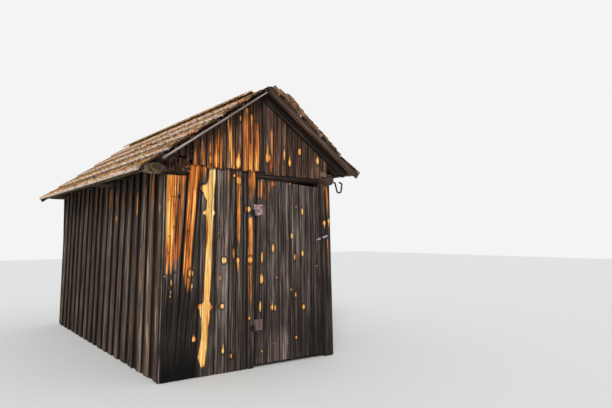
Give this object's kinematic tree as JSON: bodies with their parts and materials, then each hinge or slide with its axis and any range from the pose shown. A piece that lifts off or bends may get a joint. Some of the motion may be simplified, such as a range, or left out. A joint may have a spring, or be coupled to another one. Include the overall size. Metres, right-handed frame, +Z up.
{
  "type": "timber field hut",
  "caption": "Small weathered board-clad timber hut on ground sills, with a steep gabled clay-tile roof, log tie beams and one outward-opening plank door.",
  "frame": {"origin": "on the ground, under the middle of the roof's plan", "axes": "+X to the right along the door front, +Y from the front into the depth, along the ridge, +Z up"},
  "size_m": [2.786, 4.96, 3.1369],
  "materials": {
    "weathered_boards": "bare softwood, weathered grey-brown with bare orange and yellow heartwood streaks",
    "frame_timber": "rough sawn, aged brown",
    "log_timber": "peeled round timber, weathered grey",
    "roof_timber": "rough sawn, weathered grey with some moss",
    "clay_tile": "fired clay, matt, with lichen and moss",
    "rusty_iron": "rusted wrought iron"
  },
  "bodies": {
    "hut": {"front_wall_left": "weathered_boards", "front_wall_right": "weathered_boards", "front_gable": "weathered_boards", "left_wall": "weathered_boards", "right_wall": "weathered_boards", "back_wall": "weathered_boards", "back_gable": "weathered_boards", "door_lintel": "weathered_boards", "sill_front": "frame_timber", "sill_left": "frame_timber", "sill_right": "frame_timber", "sill_back": "frame_timber", "corner_post_front_left": "frame_timber", "corner_post_front_right": "frame_timber", "corner_post_back_left": "frame_timber", "corner_post_back_right": "frame_timber", "door_post": "frame_timber", "middle_posts": "frame_timber", "wall_plate_left": "frame_timber", "wall_plate_right": "frame_timber", "wall_rails": "frame_timber", "pole_plate_left": "frame_timber", "pole_plate_right": "frame_timber", "tie_beam_front": "log_timber", "tie_beam_middle": "log_timber", "tie_beam_back": "log_timber", "verge_laths": "log_timber", "rafters_left": "roof_timber", "rafters_right": "roof_timber", "battens_left": "roof_timber", "battens_right": "roof_timber", "verge_boards": "roof_timber", "verge_soffit": "roof_timber", "verge_strip": "roof_timber", "eave_boards": "roof_timber", "roof_tiles_left": "clay_tile", "roof_tiles_right": "clay_tile", "ridge_tiles": "clay_tile", "hinge_pintles": "rusty_iron", "latch_staple": "rusty_iron", "iron_hook": "rusty_iron"},
    "door": {"door_leaf": "weathered_boards", "door_ledges": "frame_timber", "door_brace": "frame_timber", "hinge_plates": "rusty_iron", "latch_hasp": "rusty_iron"}
  },
  "joints": [
    {"name": "door_hinge", "type": "hinge", "parent": "hut", "child": "door", "pos_m": [-0.015, -2.312, 1], "axis": [0, 0, -1], "range_deg": [0, 165]}
  ]
}
